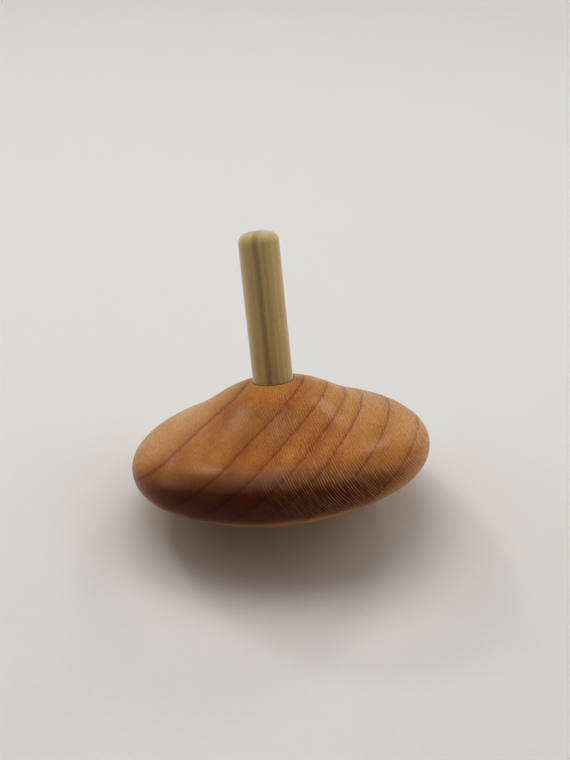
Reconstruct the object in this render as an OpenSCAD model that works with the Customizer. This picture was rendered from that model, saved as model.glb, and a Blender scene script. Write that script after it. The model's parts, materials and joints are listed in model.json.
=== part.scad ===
// Finger spinning top: a turned wooden disc on a straight dowel, glued in place.
// The top is at rest, leaning on its tip and its belly. The table is the plane z = 0, the tip
// touches the table at the origin, and the stem leans towards +Y.

/* [Disc] */
// Diameter of the disc over its rim
disc_diameter = 47.6; // [40:0.1:60]
// Radius of the rounded rim
rim_radius = 3.6; // [2.5:0.1:4.5]
// Slope of the belly where it leaves the rim, in degrees
belly_slope = 32; // [26:0.5:38]
// Slope where the rim passes into the wider curve above it, the brow, in degrees
brow_slope = 48; // [40:1:56]
// Radius of the brow
brow_radius = 9.2; // [7:0.1:12]
// Slope where the brow passes into the shoulder, in degrees
shoulder_slope = 26; // [24:0.5:30]
// Radius of the slightly convex shoulder
shoulder_radius = 24; // [18:1:30]
// Slope at the shallowest place, between shoulder and cove, in degrees
cove_slope = 21; // [19:0.5:23]
// Radius of the hollow cove
cove_radius = 52; // [44:1:60]
// Slope where the cove passes into the crown, in degrees
crown_slope = 31; // [29:0.5:33]
// Radius of the domed crown around the stem
crown_radius = 22; // [17:1:28]
// Diameter of the hole drilled along the axis
bore_diameter = 6.4; // [6.4:0.05:6.6]

/* [Stem] */
// Diameter of the dowel above the disc
stem_diameter = 6.35; // [6.3:0.05:6.4]
// Diameter of the dowel where it is sanded down to take the glue
glued_diameter = 6.25; // [6:0.05:6.3]
// Height of the sanded taper between the two diameters
taper_height = 0.8; // [0.6:0.1:1.5]
// Length of the dowel from tip to upper end
stem_length = 46.7; // [40:0.1:55]
// Radius of the rounding around the upper end
end_rounding = 1.5; // [0.5:0.1:2.5]

/* [Tip] */
// How far the tip stands below the lowest point of the belly
tip_reach = 1.75; // [1.2:0.05:3]

/* [Hidden] */
$fn = 96;

disc_radius = disc_diameter / 2;
bore_radius = bore_diameter / 2;
stem_radius = stem_diameter / 2;
glued_radius = glued_diameter / 2;
// The tip is a full ball of the dowel's sanded radius
tip_radius = glued_radius;
// Steps in an arc that turns far or is long, in an ordinary one and in a slight one
fine_steps = 24;
plain_steps = 12;
few_steps = 4;

// A step of d along the direction a, in the (radius, height) plane
function polar(d, a) = d * [cos(a), sin(a)];
// Points along an arc around c, from angle a to angle b. An arc that carries on from another one
// starts at step 1, because its first point is the other's last.
function arc(c, r, a, b, steps, first = 1) =
    [for (i = [first : steps]) c + polar(r, a + (b - a) * i / steps)];
// Angle at which an arc around c passes the given distance from the axis
function angle_at(c, r, x) = acos((x - c[0]) / r);
// A surface that slopes down outwards by s degrees faces along this angle
function facing(s) = 90 - s;

// Each arc starts where the one before it ends, in the same direction, so each centre lies on the
// line square to the surface at the joint. Heights are measured from the widest part of the rim.
rim_c = [disc_radius - rim_radius, 0];
brow_c = rim_c + polar(rim_radius - brow_radius, facing(brow_slope));
shoulder_c = brow_c + polar(brow_radius - shoulder_radius, facing(shoulder_slope));
cove_c = shoulder_c + polar(shoulder_radius + cove_radius, facing(cove_slope));
crown_c = cove_c - polar(cove_radius + crown_radius, facing(crown_slope));
crown_end = angle_at(crown_c, crown_radius, bore_radius);
crown_height = crown_c[1] + crown_radius * sin(crown_end);
// The belly is part of a ball centred on the axis
belly_radius = rim_radius + rim_c[0] / sin(belly_slope);
belly_c = [0, rim_c[1] + rim_c[0] / tan(belly_slope)];
belly_end = -angle_at(belly_c, belly_radius, bore_radius);
belly_bottom = belly_c[1] - belly_radius;
belly_mouth = belly_c[1] + belly_radius * sin(belly_end);

// Heights along the axis from the lowest point of the tip
rim_height = tip_reach - belly_bottom;
crown_mouth = rim_height + crown_height;
belly_hole = rim_height + belly_mouth;
// The taper wedges in the mouth of the bore, so the glue reaches up to its foot
glue_top = crown_mouth - taper_height;

// The tip's ball and the belly's ball both touch the table, which fixes the lean
ball_gap = rim_height + belly_c[1] - tip_radius;
lean = acos((belly_radius - tip_radius) / ball_gap);

disc_outline = concat(
    arc(belly_c, belly_radius, belly_end, -facing(belly_slope), fine_steps, first = 0),
    arc(rim_c, rim_radius, -facing(belly_slope), facing(brow_slope), fine_steps),
    arc(brow_c, brow_radius, facing(brow_slope), facing(shoulder_slope), plain_steps),
    arc(shoulder_c, shoulder_radius, facing(shoulder_slope), facing(cove_slope), few_steps),
    arc(cove_c, -cove_radius, facing(cove_slope), facing(crown_slope), plain_steps),
    arc(crown_c, crown_radius, facing(crown_slope), crown_end, plain_steps)
);

// Places a piece made upright on its tip in the leaning position of rest
module at_rest() {
    translate([0, 0, tip_radius])
        rotate([-lean, 0, 0])
            translate([0, 0, -tip_radius])
                children();
}

// Turned disc with the bore through it
module disc_body() {
    color("peru")
        at_rest()
            translate([0, 0, rim_height])
                rotate_extrude()
                    polygon(disc_outline);
}

// Dowel with a rounded upper end, a slimmer glued length and a ball tip
module stem_dowel() {
    top_c = [stem_radius - end_rounding, stem_length - end_rounding];
    color("burlywood")
        at_rest()
            rotate_extrude()
                polygon(concat(
                    arc([0, tip_radius], tip_radius, -90, 0, plain_steps, first = 0),
                    [[glued_radius, glue_top]],
                    [[stem_radius, crown_mouth]],
                    arc(top_c, end_rounding, 0, 90, plain_steps, first = 0),
                    [[0, stem_length]]
                ));
}

// Sleeve of dried glue between the dowel and the bore
module glue_line() {
    color("saddlebrown")
        at_rest()
            rotate_extrude()
                polygon([
                    [glued_radius, belly_hole],
                    [bore_radius, belly_hole],
                    [bore_radius, glue_top],
                    [glued_radius, glue_top]
                ]);
}

disc_body();
stem_dowel();
glue_line();
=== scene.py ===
import json
import math

import bpy
import numpy as np
from mathutils import Matrix, Vector


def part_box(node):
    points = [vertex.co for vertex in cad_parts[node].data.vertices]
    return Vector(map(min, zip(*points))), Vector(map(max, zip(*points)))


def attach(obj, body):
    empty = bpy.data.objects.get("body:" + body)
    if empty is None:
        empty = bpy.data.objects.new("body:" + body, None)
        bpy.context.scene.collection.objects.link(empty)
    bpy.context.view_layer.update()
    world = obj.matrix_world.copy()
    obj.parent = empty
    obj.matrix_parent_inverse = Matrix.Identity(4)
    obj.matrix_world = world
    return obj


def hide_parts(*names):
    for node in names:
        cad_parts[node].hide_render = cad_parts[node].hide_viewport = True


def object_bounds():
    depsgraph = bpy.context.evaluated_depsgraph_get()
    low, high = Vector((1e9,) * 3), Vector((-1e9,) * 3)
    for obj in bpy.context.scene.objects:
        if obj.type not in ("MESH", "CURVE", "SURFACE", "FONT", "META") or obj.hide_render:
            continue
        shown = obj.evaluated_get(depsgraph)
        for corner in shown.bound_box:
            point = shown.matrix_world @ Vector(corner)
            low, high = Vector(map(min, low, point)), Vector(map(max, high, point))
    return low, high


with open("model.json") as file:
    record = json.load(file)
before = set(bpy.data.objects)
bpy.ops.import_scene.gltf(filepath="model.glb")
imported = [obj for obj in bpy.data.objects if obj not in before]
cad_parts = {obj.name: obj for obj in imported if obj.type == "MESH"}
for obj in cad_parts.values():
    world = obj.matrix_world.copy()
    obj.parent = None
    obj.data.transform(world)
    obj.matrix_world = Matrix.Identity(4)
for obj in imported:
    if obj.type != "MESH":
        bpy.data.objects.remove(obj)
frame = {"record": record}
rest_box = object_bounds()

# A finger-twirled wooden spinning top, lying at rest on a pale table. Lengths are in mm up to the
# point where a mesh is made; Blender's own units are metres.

MM = 0.001
FULL_TURN = 2 * math.pi

# How many steps there are round the disc, round the slimmer pieces and round the table.
DISC_STEPS = 360
STEM_STEPS = 192
TABLE_STEPS = 96

# The disc's outline: radii in mm, and the slope of its side where two curves meet, in degrees.
RIM_RADIUS = 3.6
BELLY_SLOPE = 32
BROW_SLOPE = 48
BROW_RADIUS = 9.2
SHOULDER_SLOPE = 26
SHOULDER_RADIUS = 24
COVE_SLOPE = 21
COVE_RADIUS = 52
CROWN_SLOPE = 31
CROWN_RADIUS = 22
BORE_RADIUS = 3.2
MOUTH_ROUNDING = 0.16

# The slight unevenness of the sanded disc: the seed and number of its waves, how much the radius
# counts beside the height along a wave, the greatest depth, how far from the bore it starts and
# over what distance it comes to its full depth. Lengths are in mm.
SANDING_SEED = 5
SANDING_WAVES = 9
SANDING_SLANT = 0.3
SANDING_DEPTH = 0.05
SANDING_START = 0.6
SANDING_FADE = 2.0

# The stem, in mm.
GLUED_RADIUS = 3.125
TAPER_HEIGHT = 0.8
END_ROUNDING = 1.45
END_DOME_RADIUS = 9.0
STEM_LENGTH = 46.7

# The glue, in mm: the height of its lower end above the tip, its play against the wood, and the
# bead at the mouth as steps out from the bore's wall and down from the mouth's edge.
GLUE_FOOT = 1.95
GLUE_PLAY = 0.004
GLUE_BEAD = (
    (-GLUE_PLAY, 0.30),
    (0.008, 0.14),
    (0.030, 0.075),
    (0.022, 0.045),
    (0.0, 0.04),
    (-0.013, 0.02),
    (-0.021, 0.01),
    (-0.023, 0.06),
)

# How the wood lies in the disc, as directions in the disc's own frame: across the growth rings,
# across the rays, along the grain, and the way the darkened faces point, which are partly end
# grain and partly painted shade on the rim's front.
RING_NORMAL = Vector((-0.476, 0.240, 0.846))
RAY_NORMAL = Vector((0.797, -0.289, 0.530))
GRAIN = Vector((0.371, 0.927, -0.054))
END_GRAIN_AND_SHADE_NORMAL = Vector((0.48, 0.88, -0.03))
# The ring lines' places along RING_NORMAL in mm, how much the rings are curved in 1/mm, and the
# place along RAY_NORMAL in mm from which they curve to both sides.
RING_LINES = (-15.2, -10.94, -6.34, -2.44, 0.21, 3.10, 6.29, 11.52, 16.4)
RING_BEND = 0.0021
RING_BEND_CENTRE = -20.0
# How far noise moves the ring lines to either side, in wide waves and in fine ones, in mm.
RING_WAVER = 0.08
RING_FUZZ = 0.05
# Distances to the ring lines start again at this length in mm, which is far wider than the disc.
RING_RANGE = 100.0
# How far a ring line reaches past its place and before it, and how far the soft shade past it
# reaches, in mm.
LINE_PAST = 0.34
LINE_BEFORE = 0.22
TAIL_LENGTH = 1.7
# The early wood's tint has gone at the first of these distances before a line, and is full at the
# second one, in mm.
EARLY_WOOD = (0.3, 2.2)
# The distance between the rays in mm, how many radians noise of 1 would shift them, the places
# along RAY_NORMAL in mm where they start to grow and are full, and how strong they are before.
RAY_SPACING = 0.33
RAY_WANDER = 12.0
RAY_GROWTH = (-5.0, 8.0)
RAY_FAINTEST = 0.06
# Towards the rim this share is added to the end-grain share, which makes the wood there darker:
# from this radius on, and in full this much further out, in mm.
RIM_SHARE = 0.05
RIM_START = 11
RIM_WIDTH = 8
# The shares of end grain between which the dark comes in, partly the end grain's own colour and
# partly painted shade on the rim's front, and the pale of the side grain goes out.
SQUARE_RANGE = (0.32, 0.90)
FLAT_RANGE = (0.06, 0.40)

# Values of noise: between which it mostly lies, and between which it goes from none of a marking
# to all of it.
NOISE_RANGE = (0.3, 0.7)
FIBRE_RANGE = (0.35, 0.7)
MOTTLE_RANGE = (0.35, 0.65)
CHERRY_PORES = (0.56, 0.70)
POPLAR_PORES = (0.6, 0.75)

# The size of each pattern in the cherry, in mm: across the rings, across the rays and along the
# grain.
CHERRY_SIZES = {
    "waver": (4.0, 1.8, 6.0),
    "fuzz": (0.5, 0.16, 0.5),
    "broad": (2.8, 4.0, 12.0),
    "fibre": (0.22, 0.26, 3.0),
    "pore": (0.15, 0.13, 0.7),
    "ray_wander": (5.0, 2.6, 2.6),
    "ray_patch": (2.4, 0.30, 0.9),
}
# The cherry's two ground colours, and what is laid over them in turn: a marking, how strongly,
# its colour and how the colours are put together. All colours here are 0 to 255 screen values.
CHERRY_GROUND = (174, 112, 62), (206, 148, 88)
CHERRY_LAYERS = (
    ("early", 0.40, (212, 158, 84), "MIX"),
    ("fibre", 0.40, (160, 94, 38), "MIX"),
    ("flat", 0.42, (216, 174, 112), "MIX"),
    # The dark on the end grain: partly its own colour, partly painted shade on the rim's front.
    ("square", 0.96, (88, 36, 12), "MIX"),
    ("tail", 0.55, (224, 202, 164), "MULTIPLY"),
    ("line", 0.64, (186, 148, 92), "MULTIPLY"),
    ("ray", 0.45, (222, 172, 118), "MIX"),
    ("pore", 0.42, (104, 54, 22), "MIX"),
)

# The size of each pattern in the poplar, in mm: twice across the stem, and along it.
POPLAR_SIZES = {
    "streak": (1.0, 2.2, 60.0),
    "fibre": (0.22, 0.22, 8.0),
    "pore": (0.12, 0.12, 0.9),
    "waver": (2.0, 2.0, 9.0),
}
POPLAR_GROUND = (200, 172, 118), (220, 194, 138)
POPLAR_LAYERS = (
    ("fibre", 0.22, (150, 128, 82), "MIX"),
    ("mottle", 0.15, (196, 176, 124), "MIX"),
    # A dark line along the stem: partly a growth line, partly painted shade on the camera's side.
    ("dark_line_and_shade", 0.42, (122, 82, 36), "MIX"),
    ("pore", 0.25, (96, 74, 42), "MIX"),
)
# The direction across the one dark line that runs along the stem, partly a growth line and
# partly painted shade down the side that faces the camera, the distances from the line's middle
# between which its dark fades out, and how far noise moves it, in mm.
STREAK_NORMAL = Vector((0.886, -0.464, 0.0))
STREAK_FADE = (0.1, 0.7)
STREAK_WAVER = 0.12

# The darker and the lighter colour of each, as screen values, and the room's own dim light.
GLUE_COLOURS = (92, 48, 26), (128, 74, 42)
PAPER_COLOURS = (235, 234, 231), (239, 238, 235)
ROOM_COLOUR = (1.0, 0.99, 0.97, 1.0)
ROOM_STRENGTH = 0.01

# The table is flat out to the first radius, then curves up with the second one into a wall of
# this height, in mm.
TABLE_REACH = 1400.0
WALL_CURVE = 700.0
WALL_TOP = 1200.0

# The view the picture is taken from: degrees round from the front towards +X, degrees above the
# table, the distance in mm, how far the aim lies from the middle of the frame's box in mm, the
# lens in mm, and the nearest and farthest things shown in metres.
VIEW_AZIMUTH = -19.70
VIEW_ELEVATION = 32.57
VIEW_DISTANCE = 190.4
VIEW_AIM = Vector((2.72, 5.50, -2.35))
LENS = 56.25
CLIP_START = 0.01
CLIP_END = 10

# The room's lights: height in degrees, degrees to the right of straight behind the top as the
# camera sees it, distance and size in metres, and power in watts.
LIGHTS = {
    "low_left": (10, -35, 1.0, 0.45, 0.68),
    "low_right": (10, 35, 1.0, 0.45, 0.68),
    "low_far_right": (14, 76, 1.0, 0.45, 1.15),
    "low_far_left": (20, -75, 1.0, 0.45, 0.92),
    "window_left": (41, -42, 1.0, 0.15, 1.05),
    "window_right": (35, 28, 1.0, 0.15, 0.82),
    "side_left": (55, -90, 1.0, 0.5, 1.0),
    "side_right": (55, 90, 1.0, 0.5, 1.3),
    "front_right": (45, 112, 1.0, 0.5, 0.6),
    "overhead": (80, -30, 0.5, 0.38, 1.18),
}
# The lights that brighten the room's wall: how many there are, the watts of each, its size, the
# radius and the height of their ring in metres, and how steeply each is tipped down.
WALL_LIGHTS = 8
WALL_POWER = 2.2
WALL_LIGHT_SIZE = 0.8
WALL_RING_RADIUS = 0.9
WALL_RING_HEIGHT = 1.1
WALL_TIP = 0.45
# Below 1, this deepens the middle and dark shades, which brings the contrast to the photo's.
SCREEN_GAMMA = 0.75


def record_mount(name):
    """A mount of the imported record, by name."""
    return next(m for m in frame["record"]["mounts"] if m["name"] == name)


def polar(centre, radius, degrees):
    """The point at that distance and direction from a centre."""
    turn = math.radians(degrees)
    return centre[0] + radius * math.cos(turn), centre[1] + radius * math.sin(turn)


def arc(centre, radius, start, end, step=0.3):
    """Points along an arc, both ends included, about one step apart."""
    length = abs(radius * math.radians(end - start))
    count = max(3, math.ceil(length / step))
    return [polar(centre, radius, start + (end - start) * i / count) for i in range(count + 1)]


def joined(*runs):
    """One outline from several runs of points, without the points they share."""
    points = list(runs[0])
    for run in runs[1:]:
        near = math.dist(points[-1], run[0]) < 1e-6
        points += run[1:] if near else run
    return points


def disc_outline(radius):
    """Distance from the axis and height above the rim's widest part, from the lower bore mouth
    round the rim to the upper bore mouth. Also returns the height of the upper mouth's edge."""
    rim = (radius - RIM_RADIUS, 0.0)
    brow = polar(rim, RIM_RADIUS - BROW_RADIUS, 90 - BROW_SLOPE)
    shoulder = polar(brow, BROW_RADIUS - SHOULDER_RADIUS, 90 - SHOULDER_SLOPE)
    cove = polar(shoulder, SHOULDER_RADIUS + COVE_RADIUS, 90 - COVE_SLOPE)
    crown = polar(cove, -COVE_RADIUS - CROWN_RADIUS, 90 - CROWN_SLOPE)
    belly_radius = RIM_RADIUS + rim[0] / math.sin(math.radians(BELLY_SLOPE))
    belly = (0.0, rim[0] / math.tan(math.radians(BELLY_SLOPE)))
    lower = mouth_centre(belly, belly_radius, -1)
    upper = mouth_centre(crown, CROWN_RADIUS, 1)
    lower_end = direction(belly, lower)
    upper_end = direction(crown, upper)
    outline = joined(
        arc(lower, MOUTH_ROUNDING, -180, lower_end, 0.04),
        arc(belly, belly_radius, lower_end, BELLY_SLOPE - 90),
        arc(rim, RIM_RADIUS, BELLY_SLOPE - 90, 90 - BROW_SLOPE, 0.2),
        arc(brow, BROW_RADIUS, 90 - BROW_SLOPE, 90 - SHOULDER_SLOPE),
        arc(shoulder, SHOULDER_RADIUS, 90 - SHOULDER_SLOPE, 90 - COVE_SLOPE),
        arc(cove, -COVE_RADIUS, 90 - COVE_SLOPE, 90 - CROWN_SLOPE),
        arc(crown, CROWN_RADIUS, 90 - CROWN_SLOPE, upper_end),
        arc(upper, MOUTH_ROUNDING, upper_end, 180, 0.04),
    )
    edge = crown[1] + math.sqrt(CROWN_RADIUS**2 - (BORE_RADIUS - crown[0]) ** 2)
    return outline, edge


def mouth_centre(curve, radius, side):
    """The centre of the small rounding between a curve and the bore's wall."""
    across = BORE_RADIUS + MOUTH_ROUNDING
    rise = math.sqrt((radius - MOUTH_ROUNDING) ** 2 - (across - curve[0]) ** 2)
    return across, curve[1] + side * rise


def direction(start, end):
    """The direction from one point to another, in degrees."""
    return math.degrees(math.atan2(end[1] - start[1], end[0] - start[0]))


def stem_outline(radius, mouth):
    """Distance from the axis and height above the tip, from the tip's ball end to the top."""
    centre = (0.0, STEM_LENGTH - END_DOME_RADIUS)
    across = radius - END_ROUNDING
    rise = math.sqrt((END_DOME_RADIUS - END_ROUNDING) ** 2 - across**2)
    corner = (across, centre[1] + rise)
    dome_end = direction(centre, corner)
    return joined(
        arc((0.0, GLUED_RADIUS), GLUED_RADIUS, -90, 0, 0.2),
        straight((GLUED_RADIUS, GLUED_RADIUS), (GLUED_RADIUS, mouth - TAPER_HEIGHT)),
        straight((GLUED_RADIUS, mouth - TAPER_HEIGHT), (radius, mouth), 0.2),
        straight((radius, mouth), (radius, corner[1])),
        arc(corner, END_ROUNDING, 0, dome_end, 0.12),
        arc(centre, END_DOME_RADIUS, dome_end, 90, 0.15),
    )


def straight(start, end, step=0.5):
    """Points along a straight line, both ends included."""
    count = max(1, math.ceil(math.dist(start, end) / step))
    steps = [i / count for i in range(count + 1)]
    return [tuple(a + (b - a) * s for a, b in zip(start, end)) for s in steps]


def glue_outline(mouth):
    """A thin sleeve between stem and bore, up to a small bead in the groove at the mouth."""
    inner = GLUED_RADIUS + GLUE_PLAY
    bead = [(BORE_RADIUS + out, mouth - down) for out, down in GLUE_BEAD]
    top = (inner + GLUE_PLAY / 2, mouth - TAPER_HEIGHT)
    return [(inner, GLUE_FOOT), (BORE_RADIUS - GLUE_PLAY, GLUE_FOOT), *bead, top]


def ripple(angle, height, seed, waves, amount):
    """A slow unevenness round and along a turned surface, between -amount and 0, in mm."""
    random = np.random.default_rng(seed)
    total = np.zeros_like(angle)
    for _ in range(waves):
        turn, climb, start = random.integers(1, 7), random.normal(0, 0.5), random.uniform(0, 7)
        total += np.sin(turn * angle + climb * height + start) / waves
    return -amount * (0.5 + 0.5 * total)


def lathe(name, outline, closed, segments, uneven=None):
    """Spins an outline of (radius, height) in mm round the piece's axis, and makes the mesh.
    An outline that isn't closed starts and ends on the axis. Each point keeps its place in this
    upright frame as an attribute, for the material."""
    outline = np.array(outline)
    rings = outline if closed else outline[1:-1]
    angles = np.arange(segments) / segments * FULL_TURN
    radius = np.repeat(rings[:, :1], segments, axis=1)
    height = np.repeat(rings[:, 1:], segments, axis=1)
    angle = np.repeat(angles[None, :], len(rings), axis=0)
    if uneven:
        radius, height = uneven(angle, radius, height)
    grid = np.stack([radius * np.cos(angle), radius * np.sin(angle), height], -1)
    points = grid.reshape(-1, 3)
    faces = ring_faces(len(rings), segments, closed)
    if not closed:
        faces += end_faces(len(rings), segments)
        poles = [[0.0, 0.0, outline[0, 1]], [0.0, 0.0, outline[-1, 1]]]
        points = np.vstack([points, poles])
    mesh = bpy.data.meshes.new(name)
    mesh.from_pydata((points * MM).tolist(), [], faces)
    mesh.polygons.foreach_set("use_smooth", [True] * len(mesh.polygons))
    mesh.update()
    own = mesh.attributes.new("place", "FLOAT_VECTOR", "POINT")
    own.data.foreach_set("vector", (points * MM).astype(np.float32).ravel())
    piece = bpy.data.objects.new(name, mesh)
    bpy.context.scene.collection.objects.link(piece)
    return piece


def ring_faces(rings, segments, closed):
    """The four-sided faces between neighbouring rings of points."""
    faces = []
    for ring in range(rings if closed else rings - 1):
        here, above = ring * segments, (ring + 1) % rings * segments
        for i in range(segments):
            j = (i + 1) % segments
            faces.append((here + i, here + j, above + j, above + i))
    return faces


def end_faces(rings, segments):
    """The triangles that close both ends, round two points that follow those of the rings."""
    low, high, top = rings * segments, rings * segments + 1, (rings - 1) * segments
    faces = []
    for i in range(segments):
        j = (i + 1) % segments
        faces += [(low, j, i), (high, top + i, top + j)]
    return faces


def mesh_vectors(collection, name):
    """A vector of every item in one of a mesh's collections, as rows."""
    flat = np.zeros(len(collection) * 3, np.float32)
    collection.foreach_get(name, flat)
    return flat.reshape(-1, 3)


def add_end_grain_and_shade_share(piece):
    """Stores how squarely each point of the surface cuts across the grain, from 0 to 1, a
    little more towards the rim. This places the dark, which is partly the end grain's own colour
    and partly painted shade on the rim's front."""
    mesh = piece.data
    share = np.abs(mesh_vectors(mesh.vertex_normals, "vector") @ np.array(END_GRAIN_AND_SHADE_NORMAL))
    radius = np.hypot(*mesh_vectors(mesh.vertices, "co")[:, :2].T) / MM
    share = share + RIM_SHARE * np.clip((radius - RIM_START) / RIM_WIDTH, 0, 1)
    share = np.clip(share, 0, 1)
    layer = mesh.attributes.new("end_grain_and_shade_share", "FLOAT", "POINT")
    layer.data.foreach_set("value", share.astype(np.float32))


class Graph:
    """A material's node tree, with short ways to add its nodes."""

    def __init__(self, name):
        self.material = bpy.data.materials.new(name)
        self.material.use_nodes = True
        self.tree = self.material.node_tree
        self.tree.nodes.clear()

    def add(self, kind, inputs, **settings):
        """Adds a node; each input is a socket to link from or a value to set."""
        node = self.tree.nodes.new("ShaderNode" + kind)
        for key, value in settings.items():
            setattr(node, key, value)
        for key, value in inputs.items():
            if isinstance(value, bpy.types.NodeSocket):
                self.tree.links.new(value, node.inputs[key])
            else:
                node.inputs[key].default_value = value
        return node

    def own_place(self):
        """Where each point lies in its piece's own upright frame."""
        return self.add("Attribute", {}, attribute_name="place").outputs["Vector"]

    def math(self, operation, first, second=0.0):
        """One step of arithmetic; each part is a socket or a number."""
        return self.add("Math", {0: first, 1: second}, operation=operation).outputs[0]

    def total(self, *parts):
        """The sum of values, each times its own weight."""
        weighed = [self.math("MULTIPLY", value, weight) for value, weight in parts]
        whole = weighed[0]
        for part in weighed[1:]:
            whole = self.math("ADD", whole, part)
        return whole

    def along(self, place, way):
        """How far a place lies along a direction, in mm."""
        node = self.add("VectorMath", {0: place, 1: way / MM}, operation="DOT_PRODUCT")
        return node.outputs["Value"]

    def stretched(self, distances, sizes):
        """Texture coordinates from three distances, each divided by a size in mm."""
        parts = [self.math("MULTIPLY", d, 1 / s) for d, s in zip(distances, sizes)]
        return self.add("CombineXYZ", dict(enumerate(parts))).outputs[0]

    def noise(self, place, scale=1.0, detail=2.0, rough=0.5):
        """Cloudy noise, mostly between 0.3 and 0.7."""
        inputs = {"Vector": place, "Scale": scale, "Detail": detail, "Roughness": rough}
        return self.add("TexNoise", inputs).outputs["Fac"]

    def remap(self, value, low, high, to_low, to_high, smooth=False):
        """The value moved from the range low to high into the other one, and held inside it."""
        inputs = {0: value, 1: low, 2: high, 3: to_low, 4: to_high}
        kind = "SMOOTHSTEP" if smooth else "LINEAR"
        return self.add("MapRange", inputs, interpolation_type=kind).outputs[0]

    def spread(self, noise, to_low, to_high):
        """Noise moved from the range it mostly lies in to another one."""
        return self.remap(noise, *NOISE_RANGE, to_low, to_high)

    def mix(self, share, first, second, blend="MIX"):
        """One colour over another, by a share from 0 to 1."""
        inputs = {0: share, 6: first, 7: second}
        return self.add("Mix", inputs, data_type="RGBA", blend_type=blend).outputs[2]

    def layered(self, share, ground, layers, marks):
        """A mix of two ground colours with layers over it, each where its own marking lies."""
        dark, light = ground
        colour = self.mix(share, rgb(*dark), rgb(*light))
        for mark, strength, tone, blend in layers:
            where = self.math("MULTIPLY", marks[mark], strength)
            colour = self.mix(where, colour, rgb(*tone), blend)
        return colour

    def finish(self, colour, roughness, height, depth, **fixed):
        """The surface itself; depth is how deep the bump's full range is, in mm."""
        bump = {"Height": height, "Strength": 1.0, "Distance": depth * MM}
        inputs = {"Base Color": colour, "Roughness": roughness}
        inputs["Normal"] = self.add("Bump", bump).outputs[0]
        inputs.update({key.replace("_", " "): value for key, value in fixed.items()})
        surface = self.add("BsdfPrincipled", inputs).outputs[0]
        self.add("OutputMaterial", {"Surface": surface})
        return self.material


def rgb(red, green, blue):
    """A colour from its 0 to 255 screen values."""
    parts = [c / 255 for c in (red, green, blue)]
    linear = [c / 12.92 if c < 0.04045 else ((c + 0.055) / 1.055) ** 2.4 for c in parts]
    return (*linear, 1.0)


def ring_distances(g, ring):
    """How far past the last ring line, and how far before the next one, in mm."""
    past, before = [], []
    for line in RING_LINES:
        past.append(g.math("FLOORED_MODULO", g.math("SUBTRACT", ring, line), RING_RANGE))
        before.append(g.math("FLOORED_MODULO", g.math("SUBTRACT", line, ring), RING_RANGE))
    while len(past) > 1:
        past = [g.math("MINIMUM", past[0], past[1])] + past[2:]
        before = [g.math("MINIMUM", before[0], before[1])] + before[2:]
    return past[0], before[0]


def bent_rings(g, wood):
    """Distance across the growth rings, which are bent and a little wavy."""
    u, v, _ = wood
    bend = g.math("POWER", g.math("SUBTRACT", v, RING_BEND_CENTRE), 2.0)
    ring = g.math("SUBTRACT", u, g.math("MULTIPLY", bend, RING_BEND / 2))
    waver = g.noise(g.stretched(wood, CHERRY_SIZES["waver"]), detail=2.0)
    ring = g.math("ADD", ring, g.spread(waver, -RING_WAVER, RING_WAVER))
    fuzz = g.noise(g.stretched(wood, CHERRY_SIZES["fuzz"]), detail=1.0)
    return g.math("ADD", ring, g.spread(fuzz, -RING_FUZZ, RING_FUZZ))


def cherry_rays(g, wood):
    """The fine light strokes where the wood's rays come to the surface, close and even; they are
    faint on one side of the disc."""
    v = wood[1]
    wander = g.noise(g.stretched(wood, CHERRY_SIZES["ray_wander"]), detail=1.0)
    phase = g.total((v, FULL_TURN / RAY_SPACING), (wander, RAY_WANDER))
    stroke = g.remap(g.math("SINE", phase), -0.1, 0.9, 0.0, 1.0, smooth=True)
    patch = g.noise(g.stretched(wood, CHERRY_SIZES["ray_patch"]), detail=1.0)
    stroke = g.math("MULTIPLY", stroke, g.remap(patch, 0.36, 0.60, 0.15, 1.0))
    return g.math("MULTIPLY", stroke, g.remap(v, *RAY_GROWTH, RAY_FAINTEST, 1.0, smooth=True))


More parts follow.
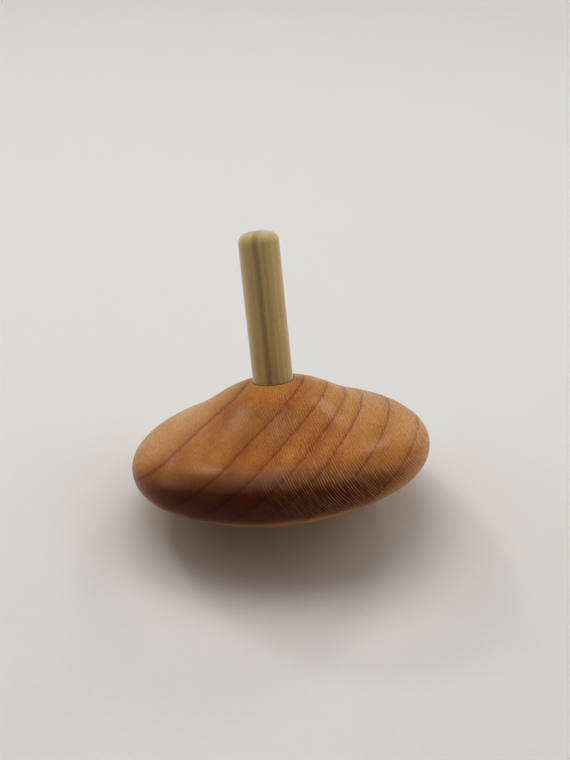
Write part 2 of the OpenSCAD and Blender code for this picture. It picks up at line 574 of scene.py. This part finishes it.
def cherry(name):
    """Oiled cherry: growth-ring lines, ray fleck, pores, darker end grain that is partly painted
    shade on the rim's front, and light wear.
    """
    g = Graph(name)
    place = g.own_place()
    end = g.add("Attribute", {}, attribute_name="end_grain_and_shade_share").outputs["Fac"]
    wood = [g.along(place, way) for way in (RING_NORMAL, RAY_NORMAL, GRAIN)]
    past, before = ring_distances(g, bent_rings(g, wood))
    line_past = g.remap(past, 0.0, LINE_PAST, 1.0, 0.0)
    line_before = g.remap(before, 0.0, LINE_BEFORE, 1.0, 0.0)
    broad = g.noise(g.stretched(wood, CHERRY_SIZES["broad"]), detail=3.0)
    fibre = g.noise(g.stretched(wood, CHERRY_SIZES["fibre"]), detail=3.0, rough=0.6)
    pore = g.noise(g.stretched(wood, CHERRY_SIZES["pore"]), detail=1.0)
    marks = {
        "early": g.remap(before, *EARLY_WOOD, 0.0, 1.0, smooth=True),
        "fibre": g.remap(fibre, *FIBRE_RANGE, 0.0, 1.0),
        "flat": g.remap(end, *FLAT_RANGE, 1.0, 0.0, smooth=True),
        # Partly the end grain's own dark, partly painted shade on the rim's front.
        "square": g.remap(end, *SQUARE_RANGE, 0.0, 1.0, smooth=True),
        "tail": g.remap(past, 0.0, TAIL_LENGTH, 1.0, 0.0, smooth=True),
        "line": g.math("MAXIMUM", line_past, line_before),
        "ray": cherry_rays(g, wood),
        "pore": g.remap(pore, *CHERRY_PORES, 0.0, 1.0),
    }
    colour = g.layered(g.spread(broad, 0.0, 1.0), CHERRY_GROUND, CHERRY_LAYERS, marks)

    smudge = g.noise(place, scale=160.0, detail=4.0)
    scuff = g.noise(place, scale=900.0, detail=3.0)
    rough = g.math("ADD", g.spread(smudge, 0.27, 0.38),
                   g.total((marks["square"], 0.06), (marks["pore"], 0.12)))
    height = g.total((fibre, 0.35), (marks["pore"], -0.45), (marks["ray"], 0.5),
                     (marks["line"], 0.3), (scuff, 0.3))
    return g.finish(colour, rough, height, depth=0.016, Specular_IOR_Level=0.12, Coat_Weight=0.15,
                    Coat_Roughness=0.22, Sheen_Weight=0.06, Sheen_Roughness=0.3)


def poplar(name):
    """Sanded yellow poplar: greenish tan, straight lines along the dowel, and one darker streak,
    which is partly a growth line and partly painted shade.
    """
    g = Graph(name)
    place = g.own_place()
    wood = [g.along(place, Vector(way)) for way in ((1, 0, 0), (0, 1, 0), (0, 0, 1))]
    streak = g.noise(g.stretched(wood, POPLAR_SIZES["streak"]), detail=2.0)
    fibre = g.noise(g.stretched(wood, POPLAR_SIZES["fibre"]), detail=3.0, rough=0.6)
    mottle = g.noise(place, scale=420.0, detail=4.0)
    pore = g.noise(g.stretched(wood, POPLAR_SIZES["pore"]), detail=1.0)
    waver = g.noise(g.stretched(wood, POPLAR_SIZES["waver"]))
    waver = g.spread(waver, -STREAK_WAVER, STREAK_WAVER)
    off = g.math("ABSOLUTE", g.math("ADD", g.along(place, STREAK_NORMAL), waver))
    marks = {
        "fibre": g.remap(fibre, *FIBRE_RANGE, 0.0, 1.0),
        "mottle": g.remap(mottle, *MOTTLE_RANGE, 0.0, 1.0),
        # Partly a growth line, partly painted shade down the side of the stem that faces the
        # camera.
        "dark_line_and_shade": g.remap(off, *STREAK_FADE, 1.0, 0.0, smooth=True),
        "pore": g.remap(pore, *POPLAR_PORES, 0.0, 1.0),
    }
    colour = g.layered(g.spread(streak, 0.0, 1.0), POPLAR_GROUND, POPLAR_LAYERS, marks)
    height = g.total((fibre, 0.5), (mottle, 0.3), (marks["pore"], -0.4))
    return g.finish(colour, g.spread(mottle, 0.52, 0.66), height, depth=0.012,
                    Specular_IOR_Level=0.3, Sheen_Weight=1.0, Sheen_Roughness=0.5)


def glue(name):
    """Dried wood glue, dark amber, with some dust in it."""
    g = Graph(name)
    blotch = g.noise(g.own_place(), scale=1500.0, detail=3.0)
    dark, light = (rgb(*tone) for tone in GLUE_COLOURS)
    colour = g.mix(g.remap(blotch, *MOTTLE_RANGE, 0.0, 1.0), dark, light)
    return g.finish(colour, g.spread(blotch, 0.3, 0.5), blotch, depth=0.01)


def paper(name):
    """A plain pale tabletop."""
    g = Graph(name)
    place = g.add("TexCoord", {}).outputs["Object"]
    tooth = g.noise(place, scale=1400.0, detail=3.0)
    dark, light = (rgb(*tone) for tone in PAPER_COLOURS)
    return g.finish(g.mix(tooth, dark, light), g.spread(tooth, 0.7, 0.85), tooth, depth=0.01,
                    Specular_IOR_Level=0.08)


def show(piece, material, node, matrix):
    """Gives a piece its material, places it under the root body and hides the CAD node it stands
    for. The mesh itself is moved, so the object's bounds are those of the leaning piece."""
    piece.data.materials.append(material)
    piece.data.transform(matrix)
    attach(piece, "root")
    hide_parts(node)


def heading(turn, tilt):
    """The unit direction at an angle round from +X and an angle above the table, in degrees."""
    turn, tilt = math.radians(turn), math.radians(tilt)
    level = math.cos(tilt)
    return Vector((level * math.cos(turn), level * math.sin(turn), math.sin(tilt)))


def stand(name, data, location, back):
    """Puts a camera or light at a place, with its back in the given direction."""
    holder = bpy.data.objects.new(name, data)
    holder.location = location
    holder.rotation_mode = "QUATERNION"
    holder.rotation_quaternion = back.to_track_quat("Z", "Y")
    bpy.context.scene.collection.objects.link(holder)
    return holder


def area_light(name, size, power, location, back):
    """A square light; the camera doesn't see the light itself."""
    lamp = bpy.data.lights.new(name, "AREA")
    lamp.shape, lamp.size, lamp.energy = "SQUARE", size, power
    stand(name, lamp, location, back).visible_camera = False


def room_lights():
    """The soft lights round the top, which face it, and a ring of lights over the table that face
    outwards and a little down and brighten the wall."""
    for name, (height, right, distance, size, power) in LIGHTS.items():
        way = heading(90 + VIEW_AZIMUTH - right, height)
        area_light(name, size, power, way * distance, way)
    for i in range(WALL_LIGHTS):
        out = heading(360 * i / WALL_LIGHTS, 0)
        place = out * WALL_RING_RADIUS + Vector((0, 0, WALL_RING_HEIGHT))
        back = Vector((0, 0, WALL_TIP)) - out
        area_light("wall_light", WALL_LIGHT_SIZE, WALL_POWER, place, back)


def make_top():
    """The three pieces of the top, set on the axis that the record's stem mount gives."""
    grip = record_mount("stem_grip")
    axis = Vector(grip["axis"]).normalized()
    grip_centre = Vector(grip["pos_m"])
    reach = grip_centre.y / axis.y
    ball_centre = grip_centre - axis * reach
    stem_radius = grip["dims"]["r_mm"]
    mouth = GLUED_RADIUS + reach / MM - grip["dims"]["length_mm"] / 2
    low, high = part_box("disc_body")
    outline, edge = disc_outline((high.x - low.x) / 2 / MM)

    turn = Vector((0, 0, 1)).rotation_difference(axis).to_matrix().to_4x4()
    foot = Matrix.Translation(ball_centre) @ turn @ Matrix.Translation((0, 0, -GLUED_RADIUS * MM))

    disc = lathe("disc", outline, True, DISC_STEPS, disc_uneven)
    add_end_grain_and_shade_share(disc)
    lift = Matrix.Translation((0, 0, (mouth - edge) * MM))
    show(disc, cherry("cherry"), "disc_body", foot @ lift)

    stem = lathe("stem", stem_outline(stem_radius, mouth), False, STEM_STEPS)
    show(stem, poplar("poplar"), "stem_dowel", foot)

    bead = lathe("glue_bead", glue_outline(mouth), True, STEM_STEPS)
    show(bead, glue("dried_glue"), "glue_line", foot)


def disc_uneven(angle, radius, height):
    """Takes a few hundredths of a millimetre at most off the disc, unevenly, as sanding does."""
    along = height + SANDING_SLANT * radius
    shave = ripple(angle, along, SANDING_SEED, SANDING_WAVES, SANDING_DEPTH)
    fade = np.clip((radius - BORE_RADIUS - SANDING_START) / SANDING_FADE, 0, 1)
    return radius + shave * fade, height


def make_floor():
    """The table, and a pale wall far off all round that it curves up into."""
    flat = straight((1.0, 0.0), (TABLE_REACH, 0.0), 100)
    curve = arc((TABLE_REACH, WALL_CURVE), WALL_CURVE, -90, 0, 60)
    rings = np.array(joined(flat, curve, [(TABLE_REACH + WALL_CURVE, WALL_TOP)]))
    angle = np.arange(TABLE_STEPS) / TABLE_STEPS * FULL_TURN
    turns = [(math.cos(a) * MM, math.sin(a) * MM) for a in angle]
    points = [(r * x, r * y, h * MM) for r, h in rings for x, y in turns]
    centre = len(points)
    faces = ring_faces(len(rings), TABLE_STEPS, False)
    faces += [(centre, i, (i + 1) % TABLE_STEPS) for i in range(TABLE_STEPS)]
    mesh = bpy.data.meshes.new("table")
    mesh.from_pydata(points + [(0, 0, 0)], [], faces)
    mesh.polygons.foreach_set("use_smooth", [True] * len(mesh.polygons))
    mesh.materials.append(paper("pale_table"))
    table = bpy.data.objects.new("table", mesh)
    bpy.context.scene.collection.objects.link(table)


def make_world():
    """Even, dim light from all round."""
    world = bpy.data.worlds.new("room")
    world.use_nodes = True
    back = world.node_tree.nodes["Background"]
    back.inputs["Color"].default_value = ROOM_COLOUR
    back.inputs["Strength"].default_value = ROOM_STRENGTH
    bpy.context.scene.world = world


def make_camera(box):
    """The camera, at the viewing angle of the picture."""
    aim = (box[0] + box[1]) / 2 + VIEW_AIM * MM
    back = heading(VIEW_AZIMUTH - 90, VIEW_ELEVATION)
    camera = bpy.data.cameras.new("camera")
    camera.lens, camera.clip_start, camera.clip_end = LENS, CLIP_START, CLIP_END
    place = aim + back * VIEW_DISTANCE * MM
    bpy.context.scene.camera = stand("camera", camera, place, back)


make_top()
make_floor()
make_world()
room_lights()
make_camera(rest_box)
bpy.context.scene.view_settings.view_transform = "Standard"
bpy.context.scene.view_settings.gamma = SCREEN_GAMMA
